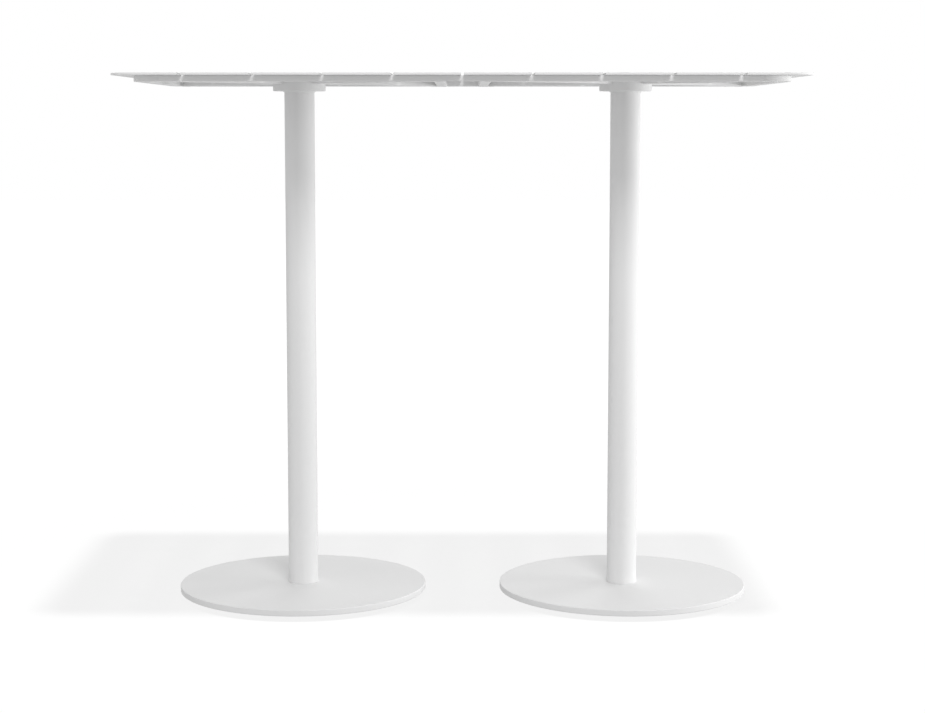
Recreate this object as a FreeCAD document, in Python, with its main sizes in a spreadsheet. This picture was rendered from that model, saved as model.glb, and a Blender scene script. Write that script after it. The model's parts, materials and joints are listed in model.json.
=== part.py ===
import FreeCAD, Part
import os
import re
import Sketcher
from FreeCAD import Vector

# Driving sizes in millimetres: alias, value, meaning
SIZES = [
    ("top_length", 1300, "table top from end to end"),
    ("top_width", 700, "table top from front to back"),
    ("table_height", 1050, "floor to the upper face of the slats"),
    ("top_corner_radius", 50, "corners of the top, seen from above"),
    ("slat_gap", 5.5, "opening between two slats"),
    ("end_slat_extra", 5.25, "by how much an end slat is wider than the others"),
    ("slat_thickness", 4, "slat plate"),
    ("slat_edge_radius", 0.8, "softened edges of the slats"),
    ("end_overhang", 32, "top beyond the frame at each end"),
    ("side_overhang", 59, "top beyond the frame at front and back"),
    ("frame_height", 11, "all bars of the frame, upright"),
    ("rail_width", 20, "all bars of the frame, across"),
    ("rail_edge_radius", 1.5, "softened long edges of the bars"),
    ("frame_corner_radius", 55, "outer radius of the corner bends"),
    ("cross_rail_spacing", 88, "between the axes of the two cross rails"),
    ("hub_diameter", 105, "disc where four arms meet, as wide as the flange under it"),
    ("flange_diameter", 105, "disc on top of the column"),
    ("flange_thickness", 14, "disc on top of the column"),
    ("flange_edge_radius", 1.2, "softened lower rim of the flange"),
    ("column_diameter", 60, "outside of the tube"),
    ("column_wall", 2.5, "wall of the tube"),
    ("plug_height", 14, "plug welded into the foot of the column"),
    ("base_diameter", 500, "round base plate"),
    ("base_thickness", 12, "round base plate"),
    ("base_edge_radius", 1.5, "softened rims of the base plate"),
    ("glide_inset", 60, "axis of a glide inside the rim of the base"),
    ("pad_diameter", 34, "plastic foot of a glide"),
    ("pad_height", 11, "plastic foot of a glide, so the lift of the base"),
    ("pad_edge_radius", 1.5, "softened lower rim of the foot"),
    ("pad_socket_depth", 7, "stem moulded into the foot"),
    ("stem_diameter", 8, "tapped hole for the threaded stem"),
    ("stem_reach", 10, "stem inside the base plate"),
    ("stem_clearance", 0.05, "between stem and hole, on the radius"),
    ("hole_end_clearance", 0.5, "beyond the end of a screw or stem in a blind hole"),
    ("slat_screw_diameter", 4, "shank of a slat screw"),
    ("slat_screw_head_diameter", 8, "head of a slat screw"),
    ("slat_screw_head_height", 2.4, "head of a slat screw"),
    ("slat_screw_reach", 2.5, "slat screw inside the slat"),
    ("slat_screw_spacing", 70, "between the two screws of a slat on one rail"),
    ("end_screw_spacing", 160, "between screws along an end rail"),
    ("flange_screw_diameter", 6, "shank of a flange screw"),
    ("flange_screw_head_diameter", 10, "head of a flange screw"),
    ("flange_screw_head_height", 4, "head of a flange screw"),
    ("flange_screw_reach", 8, "flange screw inside the hub"),
    ("base_screw_diameter", 8, "shank of a base screw"),
    ("base_screw_head_diameter", 13, "head of a base screw"),
    ("base_screw_head_height", 4.5, "head of a base screw"),
    ("base_screw_reach", 12, "base screw inside the plug"),
    ("base_screw_circle", 34, "circle of the base screws"),
    ("screw_clearance", 0.2, "round a screw's shank and head, on the radius"),
    ("head_sink", 0.4, "screw heads below the face they are sunk in"),
]

# Counts, angles and shares
SLAT_COUNT = 10
END_SCREW_COUNT = 3
GLIDE_COUNT = 4
BASE_SCREW_COUNT = 4
SOCKET_SIDE_COUNT = 6
QUARTER_TURN = 90
HALF_TURN = 180
FULL_TURN = 360
SOCKET_WIDTH_SHARE = 0.3
SOCKET_DEPTH_SHARE = 0.6
CORNER_LIMIT_SHARE = 0.95

# Sizes worked out from the driving ones
DERIVED = {
    "slat_width": f"(top_length - {SLAT_COUNT - 1} * slat_gap - 2 * end_slat_extra) / {SLAT_COUNT}",
    "slat_pitch": "slat_width + slat_gap",
    "end_slat_width": "slat_width + end_slat_extra",
    "end_slat_corner": f"min(top_corner_radius; {CORNER_LIMIT_SHARE} * end_slat_width)",
    "frame_length": "top_length - 2 * end_overhang",
    "frame_width": "top_width - 2 * side_overhang",
    "slat_level": "table_height - slat_thickness",
    "frame_level": "slat_level - frame_height",
    "flange_level": "frame_level - flange_thickness",
    "base_top": "pad_height + base_thickness",
    "column_length": "flange_level - base_top",
    "bend_inner_radius": "frame_corner_radius - rail_width",
    "side_rail_length": "frame_length - 2 * frame_corner_radius",
    "end_rail_length": "frame_width - 2 * frame_corner_radius",
    "side_rail_axis": "(frame_width - rail_width) / 2",
    "end_rail_axis": "(frame_length - rail_width) / 2",
    "cross_rail_length": "frame_width - 2 * rail_width",
    "bay_length": "frame_length / 2 - rail_width - (cross_rail_spacing + rail_width) / 2",
    "bay_width": "frame_width - 2 * rail_width",
    "hub_place": "(cross_rail_spacing + rail_width + bay_length) / 2",
    "arm_angle": "atan(bay_width / bay_length)",
    "arm_length": "bay_length + bay_width",
    "flange_screw_circle": "(flange_diameter + column_diameter) / 2",
    "glide_circle": "base_diameter - 2 * glide_inset",
    "plug_diameter": "column_diameter - 2 * column_wall",
}

ALIASES = {alias for alias, value, meaning in SIZES}
SHEET = "Sizes"
TOLERANCE_COUNT = 10
NEAR = Part.Precision.confusion() * TOLERANCE_COUNT

doc = FreeCAD.newDocument("BarTable")
sheet = doc.addObject("Spreadsheet::Sheet", SHEET)
for row, (alias, value, meaning) in enumerate(SIZES, start=1):
    sheet.set(f"A{row}", meaning)
    sheet.set(f"B{row}", str(value))
    sheet.setAlias(f"B{row}", alias)
doc.recompute()

parts = {}


def expression(words):
    """Spell out a size written in plain words as an expression on the sheet's cells."""
    def spell(match):
        word = match[0]
        if word in DERIVED:
            return f"({expression(DERIVED[word])})"
        return f"{SHEET}.{word}" if word in ALIASES else word
    return re.sub(r"[a-z_]+", spell, words)


def number(words):
    """The present value of a size, for first coordinates and for groups of copies."""
    value = sheet.evalExpression(expression(words))
    return float(getattr(value, "Value", value))


def bind(obj, prop, words):
    obj.setExpression(prop, expression(words))


def place(obj, x="0", y="0", z="0", angle="0"):
    """Put an object at a point, turned about the upright axis."""
    point = f"create(<<vector>>; {expression(x)}; {expression(y)}; {expression(z)})"
    turn = f"create(<<rotation>>; create(<<vector>>; 0; 0; 1); {expression(angle)})"
    obj.setExpression("Placement", f"create(<<placement>>; {point}; {turn})")


def keep(obj, label):
    obj.Label = label
    parts[label] = obj
    return obj


def new_body(label):
    return doc.addObject("PartDesign::Body", label)


def new_sketch(body, role, name, level="0"):
    """A sketch on one of the body's own planes, lifted to a level along its normal."""
    sketch = body.newObject("Sketcher::SketchObject", name)
    plane = next(f for f in body.Origin.OriginFeatures if f.Role == role)
    sketch.AttachmentSupport = [(plane, "")]
    sketch.MapMode = "FlatFace"
    bind(sketch, "AttachmentOffset.Base.z", level)
    return sketch


def dimension(sketch, kind, *picks, words):
    """Add a sized constraint and bind it."""
    index = sketch.addConstraint(Sketcher.Constraint(kind, *picks, number(words)))
    bind(sketch, f"Constraints[{index}]", words)


def draw_circle(sketch, diameter, x="0", y="0"):
    centre = Vector(number(x), number(y), 0)
    circle = sketch.addGeometry(Part.Circle(centre, Vector(0, 0, 1), number(diameter) / 2))
    dimension(sketch, "Diameter", circle, words=diameter)
    if x == "0" and y == "0":
        sketch.addConstraint(Sketcher.Constraint("Coincident", circle, 3, -1, 1))
        return
    dimension(sketch, "DistanceX", -1, 1, circle, 3, words=x)
    dimension(sketch, "DistanceY", -1, 1, circle, 3, words=y)


def draw_rectangle(sketch, width, depth):
    """A rectangle centred on the sketch's origin."""
    half_w, half_d = number(width) / 2, number(depth) / 2
    corners = [Vector(-half_w, -half_d, 0), Vector(half_w, -half_d, 0),
               Vector(half_w, half_d, 0), Vector(-half_w, half_d, 0)]
    for start, end in zip(corners, corners[1:] + corners[:1]):
        sketch.addGeometry(Part.LineSegment(start, end))
    for side in range(4):
        sketch.addConstraint(Sketcher.Constraint("Coincident", side, 2, (side + 1) % 4, 1))
        sketch.addConstraint(Sketcher.Constraint("Vertical" if side % 2 else "Horizontal", side))
    sketch.addConstraint(Sketcher.Constraint("Symmetric", 0, 1, 2, 1, -1, 1))
    dimension(sketch, "DistanceX", 0, 1, 0, 2, words=width)
    dimension(sketch, "DistanceY", 1, 1, 1, 2, words=depth)


def draw_bar_section(sketch, left):
    """The frame's bar section with its rounded edges, standing on the sketch's horizontal axis."""
    near, far = number(left), number(f"{left} + rail_width")
    top, r = number("frame_height"), number("rail_edge_radius")
    lines = [((near + r, 0), (far - r, 0)), ((far, r), (far, top - r)),
             ((far - r, top), (near + r, top)), ((near, top - r), (near, r))]
    centres = [(far - r, r), (far - r, top - r), (near + r, top - r), (near + r, r)]
    for side, ((start, end), centre) in enumerate(zip(lines, centres)):
        sketch.addGeometry(Part.LineSegment(Vector(*start, 0), Vector(*end, 0)))
        circle = Part.Circle(Vector(*centre, 0), Vector(0, 0, 1), r)
        first = FreeCAD.Units.Quantity(f"{(side - 1) * QUARTER_TURN} deg").getValueAs("rad").Value
        last = FreeCAD.Units.Quantity(f"{side * QUARTER_TURN} deg").getValueAs("rad").Value
        sketch.addGeometry(Part.ArcOfCircle(circle, first, last))
    pieces = 2 * len(lines)
    for piece in range(pieces):
        sketch.addConstraint(Sketcher.Constraint("Tangent", piece, 2, (piece + 1) % pieces, 1))
    for piece in range(0, pieces, 2):
        sketch.addConstraint(Sketcher.Constraint("Vertical" if piece % 4 else "Horizontal", piece))
    for arc in range(3, pieces, 2):
        sketch.addConstraint(Sketcher.Constraint("Equal", 1, arc))
    sketch.addConstraint(Sketcher.Constraint("PointOnObject", 0, 1, -1))
    dimension(sketch, "Radius", 1, words="rail_edge_radius")
    dimension(sketch, "DistanceY", 0, 1, 4, 1, words="frame_height")
    dimension(sketch, "DistanceX", 6, 1, 2, 1, words="rail_width")
    dimension(sketch, "DistanceX", -1, 1, 6, 1, words=left)


def pad(body, sketch, length):
    feature = body.newObject("PartDesign::Pad", "Pad")
    feature.Profile = sketch
    bind(feature, "Length", length)
    doc.recompute()
    return feature


def cut(body, sketch, depth=None):
    """Cut upwards from a sketch, to a depth or right through, and see that it did cut."""
    before = body.Shape.Volume
    feature = body.newObject("PartDesign::Pocket", "Pocket")
    feature.Profile = sketch
    feature.Reversed = True
    if depth is None:
        feature.Type = "ThroughAll"
    else:
        bind(feature, "Length", depth)
    doc.recompute()
    if not body.Shape.Volume < before:
        raise RuntimeError(f"{body.Label}: a pocket cut nothing")
    return feature


def soften(body, base, radius, wanted):
    """Round the edges of a feature that pass a test."""
    names = [f"Edge{i}" for i, edge in enumerate(base.Shape.Edges, start=1) if wanted(edge)]
    feature = body.newObject("PartDesign::Fillet", "Fillet")
    feature.Base = (base, names)
    bind(feature, "Radius", radius)
    doc.recompute()
    return feature


def is_level(edge):
    return edge.BoundBox.ZLength < NEAR


def drill(body, places, diameter, depth=None, level="0"):
    """Round holes cut upwards from one level, all of one size."""
    sketch = new_sketch(body, "XY_Plane", "Holes", level)
    for x, y in places:
        draw_circle(sketch, diameter, x, y)
    return cut(body, sketch, depth)


def sunk_holes(body, places, screw, through=None):
    """Holes for the shanks of sunk screws, with a recess for each head."""
    drill(body, places, f"{screw}_diameter + 2 * screw_clearance", through)
    drill(body, places, f"{screw}_head_diameter + 2 * screw_clearance",
          f"{screw}_head_height + head_sink")


def on_circle(circle, angles):
    """Places on a circle, as sizes in words."""
    return [(f"{circle} / 2 * cos({angle})", f"{circle} / 2 * sin({angle})") for angle in angles]


def even_angles(count, start=0):
    return [f"{start + turn * FULL_TURN / count} deg" for turn in range(count)]


def arm_angles():
    """The four directions in which the arms leave a hub."""
    return ["arm_angle", f"{HALF_TURN} deg - arm_angle",
            f"{HALF_TURN} deg + arm_angle", f"{FULL_TURN} deg - arm_angle"]


def make_disc(label, diameter, thickness, edge_radius=None, lower_only=False):
    """A round plate on the origin, with softened rims or a softened lower rim."""
    body = new_body(label)
    disc = new_sketch(body, "XY_Plane", "Disc")
    draw_circle(disc, diameter)
    block = pad(body, disc, thickness)
    if edge_radius:
        limit = number(thickness) / 2 if lower_only else number(thickness) * 2
        soften(body, block, edge_radius, lambda e: is_level(e) and e.CenterOfMass.z < limit)
    return body


# Slats of the top

def make_slat(label, width, place_x, end=False, turned=False):
    body = new_body(label)
    outline = new_sketch(body, "XY_Plane", "Outline")
    draw_rectangle(outline, width, "top_width")
    last = pad(body, outline, "slat_thickness")
    if end:
        outer = number(width) / 2
        last = soften(body, last, "end_slat_corner",
                      lambda e: not is_level(e) and abs(e.CenterOfMass.x - outer) < NEAR)
    soften(body, last, "slat_edge_radius", is_level)
    if end:
        rail_x = f"{width} / 2 - end_overhang - rail_width / 2"
        places = [(rail_x, f"{step} * end_screw_spacing") for step in end_screw_steps()]
    else:
        places = [(f"{i} * slat_screw_spacing / 2", f"{j} * side_rail_axis")
                  for i in (-1, 1) for j in (-1, 1)]
    drill(body, places, "slat_screw_diameter + 2 * stem_clearance",
          "slat_screw_reach + hole_end_clearance")
    place(body, place_x, z="slat_level", angle=f"{HALF_TURN if turned else 0} deg")
    keep(body, label)


def end_screw_steps():
    return [step - (END_SCREW_COUNT - 1) / 2 for step in range(END_SCREW_COUNT)]


def slat_steps():
    """Places of the slats' axes from the middle of the top, in pitches."""
    return [step - (SLAT_COUNT - 1) / 2 for step in range(SLAT_COUNT)]


END_SLAT_AXIS = "(top_length - end_slat_width) / 2"
for index, step in enumerate(slat_steps(), start=1):
    name = f"slat_{index:02d}"
    if index == 1:
        make_slat(name, "end_slat_width", f"-{END_SLAT_AXIS}", end=True, turned=True)
    elif index == SLAT_COUNT:
        make_slat(name, "end_slat_width", END_SLAT_AXIS, end=True)
    else:
        make_slat(name, "slat_width", f"{step} * slat_pitch")


# Frame under the slats: straight bars, corner bends, hubs and arms

def make_bar(label, length):
    """A straight bar that runs along its own X axis from the origin."""
    body = new_body(label)
    section = new_sketch(body, "YZ_Plane", "Section")
    draw_bar_section(section, "-rail_width / 2")
    pad(body, section, length)
    return body


def side_rail_screws():
    """Places of the slat screws along a side rail, from its left end."""
    return [f"side_rail_length / 2 + {step} * slat_pitch + {side} * slat_screw_spacing / 2"
            for step in slat_steps()[1:-1] for side in (-1, 1)]


def end_rail_screws():
    return [f"end_rail_length / 2 + {step} * end_screw_spacing" for step in end_screw_steps()]


for label, side in (("front_rail", "-"), ("back_rail", "")):
    rail = make_bar(label, "side_rail_length")
    sunk_holes(rail, [(x, "0") for x in side_rail_screws()], "slat_screw")
    place(rail, "-side_rail_length / 2", f"{side}side_rail_axis", "frame_level")
    keep(rail, label)

for label, side in (("left_end_rail", "-"), ("right_end_rail", "")):
    rail = make_bar(label, "end_rail_length")
    sunk_holes(rail, [(x, "0") for x in end_rail_screws()], "slat_screw")
    place(rail, f"{side}end_rail_axis", "-end_rail_length / 2", "frame_level", f"{QUARTER_TURN} deg")
    keep(rail, label)

for label, side in (("left_cross_rail", "-"), ("right_cross_rail", "")):
    rail = make_bar(label, "cross_rail_length")
    place(rail, f"{side}cross_rail_spacing / 2", "-cross_rail_length / 2", "frame_level",
          f"{QUARTER_TURN} deg")
    keep(rail, label)

BENDS = [("back_right_bend", "", ""), ("back_left_bend", "-", ""),
         ("front_left_bend", "-", "-"), ("front_right_bend", "", "-")]
for turn, (label, side_x, side_y) in enumerate(BENDS):
    bend = new_body(label)
    section = new_sketch(bend, "XZ_Plane", "Section")
    draw_bar_section(section, "bend_inner_radius")
    sweep = bend.newObject("PartDesign::Revolution", "Bend")
    sweep.Profile = section
    sweep.ReferenceAxis = (section, ["V_Axis"])
    sweep.Angle = QUARTER_TURN
    sweep.Reversed = False
    place(bend, f"{side_x}side_rail_length / 2", f"{side_y}end_rail_length / 2", "frame_level",
          f"{turn * QUARTER_TURN} deg")
    keep(bend, label)


def make_bay(label, place_x, turned):
    """The clear space of half the frame, which trims the ends of the arms."""
    body = new_body(label)
    outline = new_sketch(body, "XY_Plane", "Outline")
    draw_rectangle(outline, "bay_length", "bay_width")
    block = pad(body, outline, "frame_height")
    outer = number("bay_length") / 2
    soften(body, block, "bend_inner_radius",
           lambda e: not is_level(e) and abs(e.CenterOfMass.x - outer) < NEAR)
    place(body, place_x, z="frame_level", angle=f"{HALF_TURN if turned else 0} deg")
    return body


def make_arm(label, angle, place_x, bay, core):
    """A bar from the rim of the hub to a corner of its bay."""
    bar = make_bar(f"{label}_bar", "arm_length")
    place(bar, place_x, z="frame_level", angle=angle)
    trimmed = doc.addObject("Part::Common", f"{label}_trimmed")
    trimmed.Base = bar
    trimmed.Tool = bay
    arm = doc.addObject("Part::Cut", label)
    arm.Base = trimmed
    arm.Tool = core
    keep(arm, label)


SIDES = [("left", "-hub_place", True), ("right", "hub_place", False)]
ARM_NAMES = {"left": ["back_inner", "back_outer", "front_outer", "front_inner"],
             "right": ["back_outer", "back_inner", "front_inner", "front_outer"]}
for side, place_x, turned in SIDES:
    hub = make_disc(f"{side}_hub", "hub_diameter", "frame_height")
    drill(hub, on_circle("flange_screw_circle", arm_angles()), "flange_screw_diameter + 2 * stem_clearance",
          "flange_screw_reach + hole_end_clearance")
    place(hub, place_x, z="frame_level")
    keep(hub, f"{side}_hub")
    bay = make_bay(f"{side}_bay", place_x, turned)
    core = make_disc(f"{side}_core", "hub_diameter", "frame_height")  # the hub undrilled, to trim the arms
    place(core, place_x, z="frame_level")
    for name, angle in zip(ARM_NAMES[side], arm_angles()):
        make_arm(f"{side}_arm_{name}", angle, place_x, bay, core)


# Pedestals: flange, column, plug and base plate

def make_pedestal(side, place_x):
    flange = make_disc(f"{side}_flange", "flange_diameter", "flange_thickness", "flange_edge_radius",
                       lower_only=True)
    sunk_holes(flange, on_circle("flange_screw_circle", arm_angles()), "flange_screw")
    place(flange, place_x, z="flange_level")
    keep(flange, f"{side}_flange")

    column = new_body(f"{side}_column")
    rings = new_sketch(column, "XY_Plane", "Rings")
    draw_circle(rings, "column_diameter")
    draw_circle(rings, "plug_diameter")
    pad(column, rings, "column_length")
    place(column, place_x, z="base_top")
    keep(column, f"{side}_column")

    screw_places = on_circle("base_screw_circle", even_angles(BASE_SCREW_COUNT))
    plug = make_disc(f"{side}_column_plug", "plug_diameter", "plug_height")
    drill(plug, screw_places, "base_screw_diameter + 2 * stem_clearance")
    place(plug, place_x, z="base_top")
    keep(plug, f"{side}_column_plug")

    base = make_disc(f"{side}_base_plate", "base_diameter", "base_thickness", "base_edge_radius")
    sunk_holes(base, screw_places, "base_screw")
    drill(base, on_circle("glide_circle", glide_angles()), "stem_diameter",
          "stem_reach + hole_end_clearance")
    place(base, place_x, z="pad_height")
    keep(base, f"{side}_base_plate")


def glide_angles():
    """Glides stand between the screws of the base plate."""
    return even_angles(GLIDE_COUNT, FULL_TURN / GLIDE_COUNT / 2)


def make_glide(side, index, x, y):
    foot = make_disc(f"{side}_glide_pad_{index}", "pad_diameter", "pad_height", "pad_edge_radius",
                     lower_only=True)
    drill(foot, [("0", "0")], "stem_diameter - 2 * stem_clearance",
          level="pad_height - pad_socket_depth")
    place(foot, x, y)
    keep(foot, f"{side}_glide_pad_{index}")

    stem = make_disc(f"{side}_glide_stem_{index}", "stem_diameter - 2 * stem_clearance",
                     "pad_socket_depth + stem_reach")
    place(stem, x, y, "pad_height - pad_socket_depth")
    keep(stem, f"{side}_glide_stem_{index}")


for side, place_x, turned in SIDES:
    make_pedestal(side, place_x)
    for index, (x, y) in enumerate(on_circle("glide_circle", glide_angles()), start=1):
        make_glide(side, index, f"{place_x} + {x}", y)


# Screws, each kind modelled once and set in groups

def make_screw(screw, grip):
    """A flat-headed screw with a hexagon socket, head down, standing on the origin."""
    head = doc.addObject("Part::Cylinder", f"{screw}_head")
    bind(head, "Radius", f"{screw}_head_diameter / 2")
    bind(head, "Height", f"{screw}_head_height")
    shank = doc.addObject("Part::Cylinder", f"{screw}_shank")
    bind(shank, "Radius", f"{screw}_diameter / 2")
    bind(shank, "Height", f"{grip} - head_sink + {screw}_reach")
    whole = doc.addObject("Part::Fuse", f"{screw}_blank")
    whole.Base = head
    whole.Tool = shank
    socket = doc.addObject("Part::Prism", f"{screw}_socket")
    socket.Polygon = SOCKET_SIDE_COUNT
    bind(socket, "Circumradius", f"{SOCKET_WIDTH_SHARE} * {screw}_head_diameter")
    bind(socket, "Height", f"{SOCKET_DEPTH_SHARE} * {screw}_head_height")
    model = doc.addObject("Part::Cut", f"{screw}_model")
    model.Base = whole
    model.Tool = socket
    doc.recompute()
    return model


def set_screws(label, model, places, level):
    """One group of separate screws, a copy of the model at each place."""
    height = number(level)
    copies = []
    for x, y in places:
        copy = model.Shape.copy()
        copy.translate(Vector(number(x), number(y), height))
        copies.append(copy)
    group = doc.addObject("Part::Feature", label)
    group.Shape = Part.makeCompound(copies)
    keep(group, label)


slat_screw = make_screw("slat_screw", "frame_height")
slat_places = [(f"{x} - side_rail_length / 2", f"{side} * side_rail_axis")
               for side in (-1, 1) for x in side_rail_screws()]
slat_places += [(f"{side} * end_rail_axis", f"{y} - end_rail_length / 2")
                for side in (-1, 1) for y in end_rail_screws()]
set_screws("slat_screws", slat_screw, slat_places, "frame_level + head_sink")

flange_screw = make_screw("flange_screw", "flange_thickness")
base_screw = make_screw("base_screw", "base_thickness")
for side, place_x, turned in SIDES:
    flange_places = on_circle("flange_screw_circle", arm_angles())
    base_places = on_circle("base_screw_circle", even_angles(BASE_SCREW_COUNT))
    set_screws(f"{side}_flange_screws", flange_screw,
               [(f"{place_x} + {x}", y) for x, y in flange_places], "flange_level + head_sink")
    set_screws(f"{side}_base_screws", base_screw,
               [(f"{place_x} + {x}", y) for x, y in base_places], "pad_height + head_sink")


# Checks and files

doc.recompute()
for obj in doc.Objects:
    if "Invalid" in obj.State or "Error" in obj.State:
        raise RuntimeError(f"{obj.Label}: {obj.State}")
for label, obj in parts.items():
    if obj.Shape.isNull() or not obj.Shape.isValid():
        raise RuntimeError(f"{label}: no valid shape")

os.makedirs("parts", exist_ok=True)
for label, obj in parts.items():
    obj.Shape.exportStep(f"parts/{label}.step")
print(f"{len(parts)} sub-parts written")
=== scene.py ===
import json
import math
import bpy
import numpy as np
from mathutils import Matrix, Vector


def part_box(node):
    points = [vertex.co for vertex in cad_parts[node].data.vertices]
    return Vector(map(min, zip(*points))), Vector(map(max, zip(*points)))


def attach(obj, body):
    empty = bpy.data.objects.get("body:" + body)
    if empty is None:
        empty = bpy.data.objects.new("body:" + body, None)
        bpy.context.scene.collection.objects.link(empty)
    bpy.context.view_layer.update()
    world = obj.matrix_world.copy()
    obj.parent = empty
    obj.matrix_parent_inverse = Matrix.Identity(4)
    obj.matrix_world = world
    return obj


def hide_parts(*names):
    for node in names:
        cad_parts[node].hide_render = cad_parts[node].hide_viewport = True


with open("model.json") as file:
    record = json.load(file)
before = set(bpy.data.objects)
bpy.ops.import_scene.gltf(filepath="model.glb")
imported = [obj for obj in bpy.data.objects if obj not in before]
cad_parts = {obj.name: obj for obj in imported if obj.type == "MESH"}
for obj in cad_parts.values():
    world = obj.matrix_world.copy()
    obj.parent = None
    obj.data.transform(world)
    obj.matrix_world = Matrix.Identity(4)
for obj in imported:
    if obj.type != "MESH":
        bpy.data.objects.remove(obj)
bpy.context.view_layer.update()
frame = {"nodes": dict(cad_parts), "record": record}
nodes = frame["nodes"]
mm = 0.001  # metres in a millimetre
sides = ("left", "right")
glideNumbers = (1, 2, 3, 4)  # under each base plate
creaseAngle = 40  # degrees between two faces beyond which their edge is shaded sharp
arcPoints = 7  # on each rounded edge of a profile
noiseDetail = 2.0  # of a noise whose look names no other
noiseMiddle = 0.5  # about which a noise swings
mixColours = {"first": 6, "second": 7, "out": 2}  # sockets of a Mix node that carry colours
print("frame loaded:", len(nodes), "nodes")


# A wire is one output socket; arithmetic on wires adds Math nodes
class Wire:
    def __init__(self, sheet, socket):
        self.sheet = sheet
        self.socket = socket

    def maths(self, operation, first, second):
        return self.sheet.node("ShaderNodeMath", {"operation": operation}, {0: first, 1: second})

    def __add__(self, other):
        return self.maths("ADD", self, other)

    def __radd__(self, other):
        return self.maths("ADD", other, self)

    def __sub__(self, other):
        return self.maths("SUBTRACT", self, other)

    def __rsub__(self, other):
        return self.maths("SUBTRACT", other, self)

    def __mul__(self, other):
        return self.maths("MULTIPLY", self, other)

    def __rmul__(self, other):
        return self.maths("MULTIPLY", other, self)


# A node sheet is one shader tree, emptied, with a single way of adding nodes to it
class NodeSheet:
    def __init__(self, tree):
        self.tree = tree
        tree.nodes.clear()

    def node(self, kind, settings=None, sockets=None, out=0):
        made = self.tree.nodes.new(kind)
        for key, value in (settings or {}).items():
            setattr(made, key, value)
        for key, value in (sockets or {}).items():
            if isinstance(value, Wire):
                self.tree.links.new(value.socket, made.inputs[key])
            else:
                made.inputs[key].default_value = value
        return Wire(self, made.outputs[out]) if made.outputs else None

    def blend(self, factor, first, second):  # colours go through Mix, not Math
        return self.node("ShaderNodeMix", {"data_type": "RGBA"}, {
            0: factor, mixColours["first"]: first, mixColours["second"]: second}, out=mixColours["out"])

    def noise(self, place, scale, detail=noiseDetail):
        return self.node("ShaderNodeTexNoise", {}, {"Vector": place, "Scale": scale, "Detail": detail})


def newMaterial(name):
    material = bpy.data.materials.new(name)
    material.use_nodes = True
    return material, NodeSheet(material.node_tree)


def rgba(grey):
    return (grey, grey, grey, 1)


# Powder coat: a fine orange peel over a finer grain, with a faint cloud in its tone
powderLook = {
    "tone": 0.80, "toneCloud": 0.776, "cloudScale": 3.5, "cloudDetail": 4.0,
    "peelScale": 420, "grainScale": 1500,
    "roughness": 0.55, "roughnessSwing": 0.12, "peelShare": 0.65,
    "bumpStrength": 0.08, "bumpDepth": 0.12 * mm, "specular": 0.2,
}


def powderCoat(name):
    look = powderLook
    material, sheet = newMaterial(name)
    place = sheet.node("ShaderNodeTexCoord", out="Object")
    cloud = sheet.noise(place, look["cloudScale"], look["cloudDetail"])
    peel = sheet.noise(place, look["peelScale"])
    grain = sheet.noise(place, look["grainScale"])
    colour = sheet.blend(cloud, rgba(look["tone"]), rgba(look["toneCloud"]))
    height = peel * look["peelShare"] + grain * (1 - look["peelShare"])
    bump = sheet.node("ShaderNodeBump", {}, {
        "Strength": look["bumpStrength"], "Distance": look["bumpDepth"], "Height": height})
    paint = sheet.node("ShaderNodeBsdfPrincipled", {}, {
        "Base Color": colour, "Normal": bump, "Specular IOR Level": look["specular"],
        "Roughness": look["roughness"] + (peel - noiseMiddle) * look["roughnessSwing"]})
    sheet.node("ShaderNodeOutputMaterial", {}, {"Surface": paint})
    return material


# Plated steel of the screws and stems: mottled by the bath, finely scratched
steelLook = {
    "bright": 0.62, "dull": 0.46, "mottleScale": 160, "mottleDetail": 3.0,
    "scratchScale": 1200, "scratchStretch": (1, 1, 0.06),
    "roughness": 0.28, "roughnessSwing": 0.22, "bumpStrength": 0.15, "bumpDepth": 0.05 * mm,
}


def platedSteel(name, **changes):
    look = {**steelLook, **changes}
    material, sheet = newMaterial(name)
    place = sheet.node("ShaderNodeTexCoord", out="Object")
    drawn = sheet.node("ShaderNodeMapping", {}, {"Vector": place, "Scale": look["scratchStretch"]})
    mottle = sheet.noise(place, look["mottleScale"], look["mottleDetail"])
    scratch = sheet.noise(drawn, look["scratchScale"])
    colour = sheet.blend(mottle, rgba(look["dull"]), rgba(look["bright"]))
    bump = sheet.node("ShaderNodeBump", {}, {
        "Strength": look["bumpStrength"], "Distance": look["bumpDepth"], "Height": scratch})
    steel = sheet.node("ShaderNodeBsdfPrincipled", {}, {
        "Base Color": colour, "Metallic": 1.0, "Normal": bump,
        "Roughness": look["roughness"] + scratch * look["roughnessSwing"]})
    sheet.node("ShaderNodeOutputMaterial", {}, {"Surface": steel})
    return material


# Moulded plastic of the feet: spark-eroded grain and slight flow marks
plasticLook = {
    "tone": 0.72, "toneFlow": 0.66, "flowScale": 45, "flowDetail": 3.0, "grainScale": 2200,
    "roughness": 0.5, "roughnessSwing": 0.15, "bumpStrength": 0.3, "bumpDepth": 0.06 * mm,
}


def mouldedPlastic(name):
    look = plasticLook
    material, sheet = newMaterial(name)
    place = sheet.node("ShaderNodeTexCoord", out="Object")
    flow = sheet.noise(place, look["flowScale"], look["flowDetail"])
    grain = sheet.noise(place, look["grainScale"])
    bump = sheet.node("ShaderNodeBump", {}, {
        "Strength": look["bumpStrength"], "Distance": look["bumpDepth"], "Height": grain})
    plastic = sheet.node("ShaderNodeBsdfPrincipled", {}, {
        "Base Color": sheet.blend(flow, rgba(look["tone"]), rgba(look["toneFlow"])), "Normal": bump,
        "Roughness": look["roughness"] + (grain - noiseMiddle) * look["roughnessSwing"]})
    sheet.node("ShaderNodeOutputMaterial", {}, {"Surface": plastic})
    return material


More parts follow.
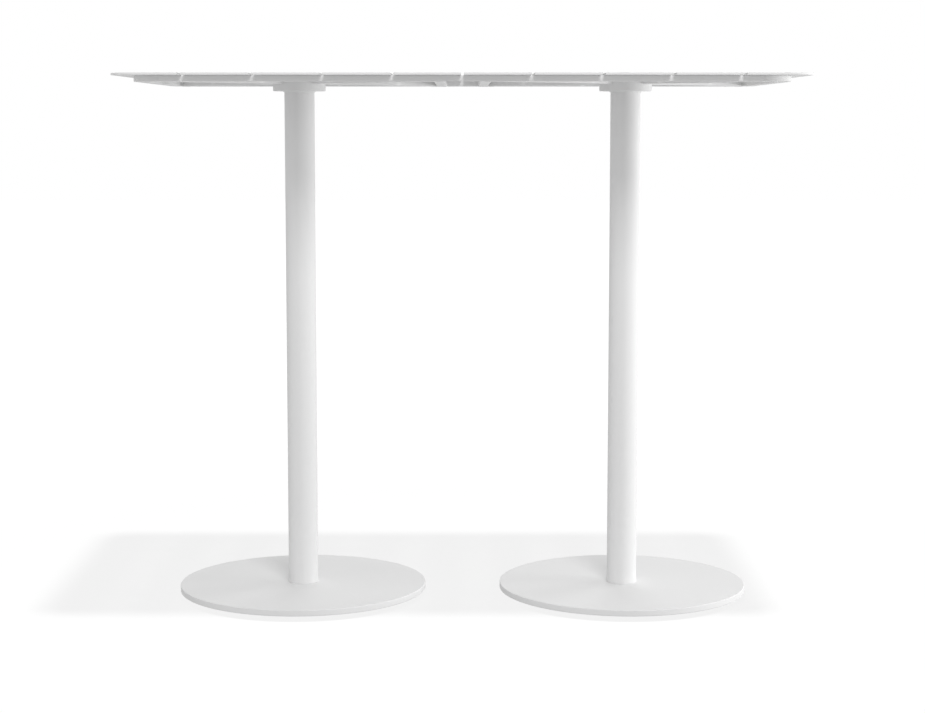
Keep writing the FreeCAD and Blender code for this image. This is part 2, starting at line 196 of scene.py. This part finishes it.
finishes = {
    "top": powderCoat("slatPowderCoat"),
    "frame": powderCoat("framePowderCoat"),
    "pedestal": powderCoat("pedestalPowderCoat"),
    "plug_steel": platedSteel("plugSteel", bright=0.5, dull=0.34, roughness=0.4),
    "screw_steel": platedSteel("screwSteel"),
    "glide_plastic": mouldedPlastic("glidePlastic"),
}
for entry in frame["record"]["subparts"]:
    node = nodes[entry["node"]]
    node.data.materials.clear()
    node.data.materials.append(finishes[entry["material_slot"]])
print("finishes made:", len(finishes))


# Grids of points (batch, rows, columns, xyz) become quads, closed across the columns;
# rows are closed too, or end in a fan round a pole at each end
def gridMesh(name, points, poles=None, crease=creaseAngle):
    batch, rows, columns, _ = points.shape
    steps = rows if poles is None else rows - 1
    row, column = np.arange(steps)[:, None], np.arange(columns)[None, :]
    nextRow, nextColumn = (row + 1) % rows, (column + 1) % columns
    quads = np.stack([row * columns + column, row * columns + nextColumn,
                      nextRow * columns + nextColumn, nextRow * columns + column], axis=-1)
    first = np.arange(batch)[:, None, None] * rows * columns
    faces = (quads.reshape(1, -1, 4) + first).reshape(-1, 4).tolist()
    vertices = points.reshape(-1, 3)
    if poles is not None:
        tip = len(vertices) + 2 * np.arange(batch)[:, None]
        ring = np.arange(columns)[None, :]
        after = (ring + 1) % columns
        low = first[:, :, 0]
        high = low + (rows - 1) * columns
        fans = np.concatenate([np.stack(np.broadcast_arrays(low + after, low + ring, tip), -1),
                               np.stack(np.broadcast_arrays(high + ring, high + after, tip + 1), -1)])
        faces += fans.reshape(-1, 3).tolist()
        vertices = np.vstack([vertices, np.reshape(poles, (-1, 3))])
    mesh = bpy.data.meshes.new(name)
    mesh.from_pydata(vertices.tolist(), [], faces)
    mesh.polygons.foreach_set("use_smooth", np.ones(len(faces), bool))
    mesh.set_sharp_from_angle(angle=math.radians(crease))
    return mesh


def addPiece(name, mesh, slot, body="table", stands=()):
    piece = bpy.data.objects.new(name, mesh)
    bpy.context.scene.collection.objects.link(piece)
    mesh.materials.append(finishes[slot])
    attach(piece, body)
    if stands:
        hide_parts(*stands)


# A profile of (radius, height) turned round an upright axis at (x, y), begun a share of a step round
def turned(profile, axis, count, radius=None, share=0.0):
    profile = np.asarray(profile, float)
    angle = (np.arange(count) + share) * 2 * math.pi / count
    reach = profile[:, :1] if radius is None else radius
    points = np.stack(np.broadcast_arrays(axis[0] + reach * np.cos(angle), axis[1] + reach * np.sin(angle),
                                          profile[:, 1:2]), axis=-1)
    return points[None]


# An arc of a profile: points on a circle from one angle to another, in degrees
def arc(centre, radius, start, end):
    angle = np.radians(np.linspace(start, end, arcPoints))
    return np.stack([centre[0] + radius * np.cos(angle), centre[1] + radius * np.sin(angle)], axis=-1)


def unit(vectors):
    return vectors / np.linalg.norm(vectors, axis=-1, keepdims=True)


# Columns: a tube with broken edges, turned in fine steps; rows a margin from the edges keep its wall smooth
columnShape = {"wall": 2.5 * mm, "edge": 0.5 * mm, "margin": 2 * mm, "steps": 160}


def makeColumn(side):
    low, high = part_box(f"{side}_column")
    outer, edge, margin = (high.x - low.x) / 2, columnShape["edge"], columnShape["margin"]
    inner = outer - columnShape["wall"]
    foot, head = low.z + edge, high.z - edge
    profile = np.concatenate([
        arc((outer - edge, foot), edge, -90, 0), [(outer, foot + margin), (outer, head - margin)],
        arc((outer - edge, head), edge, 0, 90), arc((inner + edge, head), edge, 90, 180),
        [(inner, head - margin), (inner, foot + margin)], arc((inner + edge, foot), edge, 180, 270)])
    centre = (low + high) / 2
    mesh = gridMesh(f"{side}ColumnTube", turned(profile, centre, columnShape["steps"]))
    addPiece(f"{side}ColumnTube", mesh, "pedestal", stands=[f"{side}_column"])


# Weld round the head of a column: a ring of round section whose radius swells once for each drop
headWeldShape = {"radius": 2.2 * mm, "drop": 3.2 * mm, "swell": 0.10, "around": 20, "stepsPerDrop": 6}


def makeHeadWeld(side):
    low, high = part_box(f"{side}_column")
    centre, reach = (low + high) / 2, (high.x - low.x) / 2
    drops = round(2 * math.pi * reach / headWeldShape["drop"])
    angle = np.linspace(0, 2 * math.pi, drops * headWeldShape["stepsPerDrop"], endpoint=False)
    turn = np.linspace(0, 2 * math.pi, headWeldShape["around"], endpoint=False)[:, None]
    thick = headWeldShape["radius"] * (1 + headWeldShape["swell"] * np.cos(drops * angle + np.cos(turn)))
    radius = reach + thick * np.cos(turn)
    height = high.z + thick * np.sin(turn)
    x, y = centre.x + radius * np.cos(angle), centre.y + radius * np.sin(angle)
    mesh = gridMesh(f"{side}HeadWeld", np.stack([x, y, height], axis=-1)[None])
    addPiece(f"{side}HeadWeld", mesh, "pedestal")


# Base plates: a disc with rounded rims turned in fine steps, then bored from below for screws and stems
plateShape = {
    "edge": 1.5 * mm, "margin": 1 * mm, "steps": 288, "boreSteps": 48, "overrun": 1 * mm,
    "screws": 4, "headRadius": 6.5 * mm, "headHeight": 4.5 * mm, "shankRadius": 4 * mm,
    "screwPlay": 0.2 * mm, "stemPlay": 0.05 * mm, "stemRoom": 0.5 * mm,
}


# Closed bores: one profile of (radius, height) turned at each place, half a step round so that no
# corner of a bore falls on an edge of the plate
def bores(profile, places):
    steps = plateShape["boreSteps"]
    grids = np.concatenate([turned(profile, place, steps, share=0.5) for place in places])
    poles = [[(*place, profile[0][1]), (*place, profile[-1][1])] for place in places]
    return gridMesh("bores", grids, poles)


# Through bores for the screws, spaced evenly round the column: wide for the heads, narrow for the shanks
def screwBores(side, centre, below, above):
    low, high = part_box(f"{side}_base_screws")
    head = plateShape["headRadius"] + plateShape["screwPlay"]
    shank = plateShape["shankRadius"] + plateShape["screwPlay"]
    headTop = low.z + plateShape["headHeight"]
    ring = (high.x - low.x) / 2 - plateShape["headRadius"]
    turn = np.linspace(0, 2 * math.pi, plateShape["screws"], endpoint=False)
    places = np.stack([centre.x + ring * np.cos(turn), centre.y + ring * np.sin(turn)], axis=-1)
    return bores([(head, below), (head, headTop), (shank, headTop), (shank, above)], places)


# Blind bores for the stems of the glides
def stemBores(side, below):
    stems = np.array([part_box(f"{side}_glide_stem_{index}") for index in glideNumbers])
    bore = (stems[0, 1, 0] - stems[0, 0, 0]) / 2 + plateShape["stemPlay"]
    top = stems[0, 1, 2] + plateShape["stemRoom"]
    return bores([(bore, below), (bore, top)], stems.mean(axis=1)[:, :2])


# A blank less its bores
def bored(name, blank, cuts):
    meshes = [blank, *cuts]
    holders = [bpy.data.objects.new(mesh.name, mesh) for mesh in meshes]
    for holder in holders:
        bpy.context.scene.collection.objects.link(holder)
    for cutter in holders[1:]:
        cut = holders[0].modifiers.new(cutter.name, "BOOLEAN")
        cut.operation = "DIFFERENCE"
        cut.object = cutter
    evaluated = holders[0].evaluated_get(bpy.context.evaluated_depsgraph_get())
    mesh = bpy.data.meshes.new_from_object(evaluated)
    mesh.name = name
    mesh.set_sharp_from_angle(angle=math.radians(creaseAngle))
    for holder in holders:
        bpy.data.objects.remove(holder)
    for used in meshes:
        bpy.data.meshes.remove(used)
    return mesh


def makePlate(side):
    low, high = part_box(f"{side}_base_plate")
    centre, reach = (low + high) / 2, (high.x - low.x) / 2
    edge, margin = plateShape["edge"], plateShape["margin"]
    foot, head, flat = low.z + edge, high.z - edge, reach - edge - margin
    profile = np.concatenate([
        [(flat, low.z)], arc((reach - edge, foot), edge, -90, 0),
        [(reach, foot + margin), (reach, head - margin)],
        arc((reach - edge, head), edge, 0, 90), [(flat, high.z)]])
    poles = [[(centre.x, centre.y, low.z), (centre.x, centre.y, high.z)]]
    disc = gridMesh(f"{side}PlateBlank", turned(profile, centre, plateShape["steps"]), poles)
    below, above = low.z - plateShape["overrun"], high.z + plateShape["overrun"]
    mesh = bored(f"{side}Plate", disc, [screwBores(side, centre, below, above), stemBores(side, below)])
    addPiece(f"{side}Plate", mesh, "pedestal", stands=[f"{side}_base_plate"])


for side in sides:
    makeColumn(side)
    makeHeadWeld(side)
    makePlate(side)
print("columns, their welds and base plates made")


# Welds round the ends of the bars: a round bead carried down one side of the bar, under it and up the
# other, along the face that the bar meets; it swells with every drop and shrinks to a point at both ends
barWeldShape = {
    "radius": 1.9 * mm, "drop": 2.2 * mm, "swell": 0.10, "rows": 130, "around": 12, "ends": 0.05,
    "edge": 1.5 * mm, "sink": 1.1 * mm,
}


# The bead's line in a bar's section: evenly spaced points (across, height) and their outward directions
def weldLine(half, low, high):
    edge = barWeldShape["edge"]
    corners = np.concatenate([
        [(-half, high)], arc((edge - half, low + edge), edge, 180, 270),
        arc((half - edge, low + edge), edge, 270, 360), [(half, high)]])
    length = np.concatenate([[0], np.cumsum(np.linalg.norm(np.diff(corners, axis=0), axis=1))])
    even = np.linspace(0, length[-1], barWeldShape["rows"] + 2)
    line = np.stack([np.interp(even, length, corners[:, axis]) for axis in (0, 1)], axis=-1)
    step = np.gradient(line, axis=0)
    return line, np.stack([step[:, 1], -step[:, 0]], axis=-1), length[-1]


# Bar ends in one half of the frame: start of the bar, its direction, and how far from the start its end
# face lies at each place across the bar. An outer arm ends at the inner circle of a bend, an inner one at
# the nearer of two straight walls, and all begin at the hub's circle
def barEnds(side, place):
    hubLow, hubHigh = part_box(f"{side}_hub")
    hub, hubRadius = np.array((hubLow + hubHigh) / 2)[:2], (hubHigh.x - hubLow.x) / 2
    crossLow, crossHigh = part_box(f"{side}_cross_rail")
    endLow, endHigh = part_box(f"{side}_end_rail")
    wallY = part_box("back_rail")[0].y
    wallIn = (crossHigh.x if hub[0] > 0 else crossLow.x) - hub[0]
    wallOut = (endLow.x if hub[0] > 0 else endHigh.x) - hub[0]
    bendLow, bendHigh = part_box(f"back_{side}_bend")
    bendRadius = bendHigh.x - bendLow.x - (crossHigh.x - crossLow.x)
    lean = math.atan2(wallY, abs(wallOut))
    ends = []
    for wall in (wallIn, wallOut):
        for frontBack in (-1, 1):
            along = np.array([math.copysign(math.cos(lean), wall), frontBack * math.sin(lean)])
            start = place[:, None] * np.array([-along[1], along[0]])
            corner = np.array([wall, frontBack * wallY])
            reach = np.min((corner - start) / along, axis=1)
            if wall == wallOut:
                offset = start - (corner - bendRadius * np.sign(corner))
                dot = offset @ along
                reach = np.sqrt(dot ** 2 - np.sum(offset ** 2, axis=1) + bendRadius ** 2) - dot
            ends.append((hub, along, np.sqrt(hubRadius ** 2 - place ** 2)))
            ends.append((hub, along, reach))
    cross = np.array((crossLow + crossHigh) / 2)[:2]
    ends += [(cross, np.array([0, frontBack]), np.full(len(place), wallY)) for frontBack in (-1, 1)]
    return ends


def makeFrameWelds(side):
    low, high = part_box(f"{side}_cross_rail")
    line, outward, length = weldLine((high.x - low.x) / 2, low.z + barWeldShape["sink"], high.z)
    start, along, reach = (np.array(part, float) for part in zip(*barEnds(side, line[:, 0])))
    across = np.stack([-along[:, 1], along[:, 0]], axis=-1)
    flat = start[:, None] + reach[..., None] * along[:, None] + line[None, :, :1] * across[:, None]
    path = np.concatenate([flat, np.broadcast_to(line[:, 1:], (len(flat), len(line), 1))], axis=-1)
    tangent = unit(np.gradient(path, axis=1))
    normal = np.concatenate([outward[None, :, :1] * across[:, None],
                             np.broadcast_to(outward[:, 1:], (len(flat), len(line), 1))], axis=-1)
    normal = unit(normal - np.sum(normal * tangent, axis=-1, keepdims=True) * tangent)
    beside = np.cross(tangent, normal)
    share = np.linspace(0, 1, len(line))
    taper = np.sqrt(np.clip(np.minimum(share, 1 - share) / barWeldShape["ends"], 0, 1))
    swell = 1 + barWeldShape["swell"] * np.cos(2 * math.pi * share * length / barWeldShape["drop"])
    radius = (barWeldShape["radius"] * taper * swell)[None, :, None, None]
    turn = np.linspace(0, 2 * math.pi, barWeldShape["around"], endpoint=False)[:, None]
    ring = np.cos(turn) * normal[:, :, None] + np.sin(turn) * beside[:, :, None]
    points = (path[:, :, None] + radius * ring)[:, 1:-1]
    mesh = gridMesh(f"{side}FrameWelds", points, path[:, [0, -1]])
    addPiece(f"{side}FrameWelds", mesh, "frame")


for side in sides:
    makeFrameWelds(side)
print("frame welds made")


# Dressed butt welds where the bends join the rails: a low oval band round the bar's section
seamShape = {"edge": 1.5 * mm, "proud": 0.22 * mm, "halfWidth": 1.7 * mm, "around": 10}


def makeSeams():
    barLow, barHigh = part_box("right_end_rail")
    sideLow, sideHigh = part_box("back_rail")
    halfWide, halfHigh = (barHigh.x - barLow.x) / 2, (barHigh.z - barLow.z) / 2
    level, edge = (barHigh.z + barLow.z) / 2, seamShape["edge"]
    corners = ((1, 1, 0), (-1, 1, 90), (-1, -1, 180), (1, -1, 270))  # signs of x and z, start of the round
    outline = np.concatenate([arc((x * (halfWide - edge), z * (halfHigh - edge)), edge, start, start + 90)
                              for x, z, start in corners])
    outward = np.concatenate([arc((0, 0), 1, start, start + 90) for _, _, start in corners])
    turn = np.linspace(0, 2 * math.pi, seamShape["around"], endpoint=False)
    section = outline[:, None, :] + outward[:, None, :] * (seamShape["proud"] * np.cos(turn))[None, :, None]
    along = np.broadcast_to(-seamShape["halfWidth"] * np.sin(turn), section.shape[:2])
    across, height = section[..., 0], level + section[..., 1]
    railEnd, railAxis = sideHigh.x, (sideLow.y + sideHigh.y) / 2
    endEnd, endAxis = barHigh.y, (barLow.x + barHigh.x) / 2
    grids = []
    for x in (-1, 1):
        for y in (-1, 1):
            grids.append(np.stack([x * railEnd + along, y * railAxis + across, height], axis=-1))
            grids.append(np.stack([x * endAxis - across, y * endEnd + along, height], axis=-1))
    addPiece("bendSeams", gridMesh("bendSeams", np.stack(grids)), "frame")


makeSeams()
print("bend seams made")


# Threaded stems: the radius follows a rounded wave of the height less the turn, faded out at both ends
threadShape = {
    "pitch": 1.25 * mm, "depth": 0.68 * mm, "runOut": 1.0 * mm,
    "rowsPerPitch": 10, "around": 48, "crease": 60,
}


def makeStem(side, index):
    node = f"{side}_glide_stem_{index}"
    low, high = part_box(node)
    centre, reach = (low + high) / 2, (high.x - low.x) / 2
    rows = round((high.z - low.z) / threadShape["pitch"] * threadShape["rowsPerPitch"])
    height = np.linspace(low.z, high.z, rows)[:, None]
    angle = np.linspace(0, 2 * math.pi, threadShape["around"], endpoint=False)[None, :]
    wave = 0.5 - 0.5 * np.cos(2 * math.pi * height / threadShape["pitch"] - angle)
    fade = np.clip(np.minimum(height - low.z, high.z - height) / threadShape["runOut"], 0, 1)
    radius = reach - threadShape["depth"] * (1 - fade + fade * wave)
    profile = np.column_stack([np.full(rows, reach), height[:, 0]])
    points = turned(profile, centre, threadShape["around"], radius)
    poles = [[(centre.x, centre.y, low.z), (centre.x, centre.y, high.z)]]
    name = f"{side}Stem{index}"
    mesh = gridMesh(name, points, poles, threadShape["crease"])
    addPiece(name, mesh, "screw_steel", f"{side}_glide_{index}", [node])


# Moulded feet: a turned pad with a socket for the stem; its rim is ribbed for the fingers by a wave round
# the axis, whose depth rises and falls as a parabola over the height of the rim
footShape = {
    "sole": 1.8 * mm, "soleRing": 0.5, "lip": 0.5 * mm,
    "ribs": 40, "ribDepth": 0.45 * mm, "stepsPerRib": 6, "rimRows": 9,
}


def makeFoot(side, index):
    node, stem = f"{side}_glide_pad_{index}", f"{side}_glide_stem_{index}"
    low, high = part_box(node)
    stemLow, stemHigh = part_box(stem)
    centre, reach = (low + high) / 2, (high.x - low.x) / 2
    bore, sole, lip = (stemHigh.x - stemLow.x) / 2, footShape["sole"], footShape["lip"]
    rim = np.column_stack([np.full(footShape["rimRows"], reach),
                           np.linspace(low.z + sole, high.z - lip, footShape["rimRows"])])
    profile = np.concatenate([
        [(footShape["soleRing"] * reach, low.z)], arc((reach - sole, low.z + sole), sole, -90, 0)[:-1], rim,
        arc((reach - lip, high.z - lip), lip, 0, 90)[1:], [(bore, high.z), (bore, stemLow.z)]])
    angle = np.linspace(0, 2 * math.pi, footShape["ribs"] * footShape["stepsPerRib"], endpoint=False)
    place = (profile[:, 1:2] - low.z - sole) / (high.z - low.z - sole - lip)
    ribbed = np.clip(4 * place * (1 - place), 0, 1) * (profile[:, :1] > reach - lip)
    wave = 0.5 - 0.5 * np.cos(footShape["ribs"] * angle)
    radius = profile[:, :1] - footShape["ribDepth"] * ribbed * wave
    points = turned(profile, centre, len(angle), radius)
    poles = [[(centre.x, centre.y, low.z), (centre.x, centre.y, stemLow.z)]]
    name = f"{side}Foot{index}"
    addPiece(name, gridMesh(name, points, poles), "glide_plastic", f"{side}_glide_{index}", [node])


for side in sides:
    for index in glideNumbers:
        makeStem(side, index)
        makeFoot(side, index)
print("glides made")


# Rays by which the camera, polished metal and glass see the surroundings
def seenRays(sheet):
    kinds = ("Is Camera Ray", "Is Glossy Ray", "Is Transmission Ray")
    return sum(sheet.node("ShaderNodeLightPath", out=kind) for kind in kinds)


# Floor: white, with a share of the lamp's shadow near the table that fades out with distance; to the table
# it is an even glow
floorLook = {
    "size": 40.0, "tone": 0.80, "bounce": 0.58, "fadeStart": 1.1, "fadeEnd": 2.2,
    "shadowShare": 0.26, "glow": 1.065,
}


def makeFloor():
    half = floorLook["size"] / 2
    mesh = bpy.data.meshes.new("studioFloor")
    corners = [(-half, -half, 0), (half, -half, 0), (half, half, 0), (-half, half, 0)]
    mesh.from_pydata(corners, [], [(0, 1, 2, 3)])
    floor = bpy.data.objects.new("studioFloor", mesh)
    bpy.context.scene.collection.objects.link(floor)
    material, sheet = newMaterial("studioFloor")
    place = sheet.node("ShaderNodeTexCoord", out="Object")
    reach = sheet.node("ShaderNodeVectorMath", {"operation": "LENGTH"}, {0: place}, out="Value")
    far = sheet.node("ShaderNodeMapRange", {"interpolation_type": "SMOOTHSTEP"}, {
        "Value": reach, "From Min": floorLook["fadeStart"], "From Max": floorLook["fadeEnd"]})
    seen = seenRays(sheet)
    matte = sheet.node("ShaderNodeBsdfDiffuse", {}, {"Color": rgba(floorLook["tone"])})
    bounce = sheet.node("ShaderNodeEmission", {}, {"Color": rgba(1), "Strength": floorLook["bounce"]})
    lit = sheet.node("ShaderNodeMixShader", {}, {0: seen, 1: bounce, 2: matte})
    white = sheet.node("ShaderNodeEmission", {}, {"Color": rgba(1), "Strength": floorLook["glow"]})
    share = floorLook["shadowShare"]
    above = sheet.node("ShaderNodeMixShader", {}, {0: seen * (1 - share + far * share), 1: lit, 2: white})
    behind = sheet.node("ShaderNodeNewGeometry", out="Backfacing")  # clear when looked at from below
    clear = sheet.node("ShaderNodeBsdfTransparent")
    surface = sheet.node("ShaderNodeMixShader", {}, {0: behind, 1: above, 2: clear})
    sheet.node("ShaderNodeOutputMaterial", {}, {"Surface": surface})
    mesh.materials.append(material)
    return floor


skyLook = {"light": 0.46, "shown": 1.0}  # strengths: for the table's light, and where it is seen


def makeSky():
    world = bpy.data.worlds.new("studioSky")
    bpy.context.scene.world = world
    world.use_nodes = True
    sheet = NodeSheet(world.node_tree)
    light, shown = (sheet.node("ShaderNodeBackground", {}, {"Color": rgba(1), "Strength": skyLook[part]})
                    for part in ("light", "shown"))
    sky = sheet.node("ShaderNodeMixShader", {}, {0: seenRays(sheet), 1: light, 2: shown})
    sheet.node("ShaderNodeOutputWorld", {}, {"Surface": sky})


# Square lamps: one throws the shadow, on the floor alone; the others light the table alone
lampLooks = {
    "overheadBox": {"at": (0.98, -1.75, 10.2), "aim": (0, 0, 0), "size": 0.65, "power": 670, "floor": True},
    "frontHighBox": {"at": (0.9, -4.0, 4.2), "aim": (0, 0, 0.3), "size": 1.8, "power": 105, "floor": False},
    "frontBox": {"at": (0.6, -5.0, 2.2), "aim": (0, 0, 0.5), "size": 1.8, "power": 18, "floor": False},
    "rightLowBox": {"at": (3.6, -0.3, 0.5), "aim": (0, 0, 1.0), "size": 1.3, "power": 55, "floor": False},
    "rightBackBox": {"at": (3.4, 2.0, 1.5), "aim": (0, 0, 0.7), "size": 1.8, "power": 36, "floor": False},
    "leftLowBox": {"at": (-3.6, -0.3, 0.5), "aim": (0, 0, 1.0), "size": 1.3, "power": 6, "floor": False},
    "leftFrontBox": {"at": (-3.4, -2.4, 2.0), "aim": (0, 0, 0.5), "size": 1.6, "power": 8, "floor": False},
    "backBox": {"at": (0.5, 3.5, 4.0), "aim": (0, 0, 0.3), "size": 2.0, "power": 28, "floor": False},
}


def makeLamp(name, look, floor):
    lamp = bpy.data.lights.new(name, "AREA")
    lamp.shape = "SQUARE"
    lamp.size = look["size"]
    lamp.energy = look["power"]
    holder = bpy.data.objects.new(name, lamp)
    bpy.context.scene.collection.objects.link(holder)
    holder.location = look["at"]
    gaze = np.subtract(look["aim"], look["at"])
    flat = math.hypot(gaze[0], gaze[1])
    holder.rotation_euler = (math.atan2(flat, -gaze[2]), 0, math.atan2(-gaze[0], gaze[1]))
    receivers = bpy.data.collections.new(name + "Receivers")
    receivers.objects.link(floor)
    receivers.collection_objects[0].light_linking.link_state = "INCLUDE" if look["floor"] else "EXCLUDE"
    holder.light_linking.receiver_collection = receivers


# Distances in metres, pitch below level in degrees, lens in millimetres, shift in widths of the picture
cameraLook = {"back": 4.0373, "height": 0.963, "pitch": 6.196, "lens": 78.02, "shift": -0.02}


def makeCamera():
    data = bpy.data.cameras.new("photoCamera")
    data.lens = cameraLook["lens"]
    data.shift_y = cameraLook["shift"]
    camera = bpy.data.objects.new("photoCamera", data)
    bpy.context.scene.collection.objects.link(camera)
    camera.location = (0, -cameraLook["back"], cameraLook["height"])
    camera.rotation_euler = (math.radians(90 - cameraLook["pitch"]), 0, 0)
    bpy.context.scene.camera = camera


studioFloor = makeFloor()
makeSky()
for lampName, lampLook in lampLooks.items():
    makeLamp(lampName, lampLook, studioFloor)
makeCamera()
bpy.context.scene.view_settings.view_transform = "Standard"
print("studio set up")
